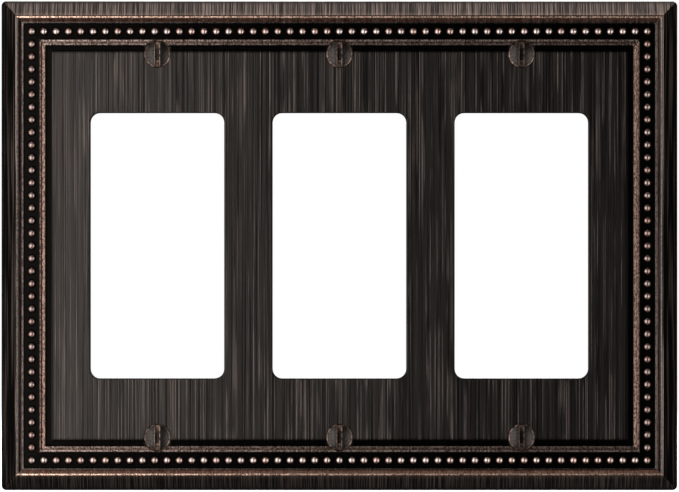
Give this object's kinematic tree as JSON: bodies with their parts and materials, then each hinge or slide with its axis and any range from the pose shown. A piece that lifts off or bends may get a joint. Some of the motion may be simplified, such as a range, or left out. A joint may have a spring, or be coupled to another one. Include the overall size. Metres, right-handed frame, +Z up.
{
  "type": "wall plate cover",
  "caption": "Beaded-border wall plate cover with rocker device openings, cast in one piece, with its oval-head mounting screws.",
  "frame": {"origin": "middle of the plate's outline, on the wall plane that its rim rests against", "axes": "+X to the right along the plate's width, +Z up, and the moulded face looks towards -Y"},
  "size_m": [0.1712, 0.02, 0.1238],
  "materials": {
    "oil_rubbed_bronze": "satin",
    "screw_bronze": "satin"
  },
  "bodies": {
    "plate": {"cover_plate": "oil_rubbed_bronze"},
    "screw_top_left": {"screw_top_left": "screw_bronze"},
    "screw_top_middle": {"screw_top_middle": "screw_bronze"},
    "screw_top_right": {"screw_top_right": "screw_bronze"},
    "screw_bottom_left": {"screw_bottom_left": "screw_bronze"},
    "screw_bottom_middle": {"screw_bottom_middle": "screw_bronze"},
    "screw_bottom_right": {"screw_bottom_right": "screw_bronze"}
  },
  "joints": [
    {"name": "screw_top_left_out", "type": "slide", "parent": "plate", "child": "screw_top_left", "axis": [0, -1, 0], "range_m": [0, 0.022]},
    {"name": "screw_top_middle_out", "type": "slide", "parent": "plate", "child": "screw_top_middle", "axis": [0, -1, 0], "range_m": [0, 0.022]},
    {"name": "screw_top_right_out", "type": "slide", "parent": "plate", "child": "screw_top_right", "axis": [0, -1, 0], "range_m": [0, 0.022]},
    {"name": "screw_bottom_left_out", "type": "slide", "parent": "plate", "child": "screw_bottom_left", "axis": [0, -1, 0], "range_m": [0, 0.022]},
    {"name": "screw_bottom_middle_out", "type": "slide", "parent": "plate", "child": "screw_bottom_middle", "axis": [0, -1, 0], "range_m": [0, 0.022]},
    {"name": "screw_bottom_right_out", "type": "slide", "parent": "plate", "child": "screw_bottom_right", "axis": [0, -1, 0], "range_m": [0, 0.022]}
  ]
}
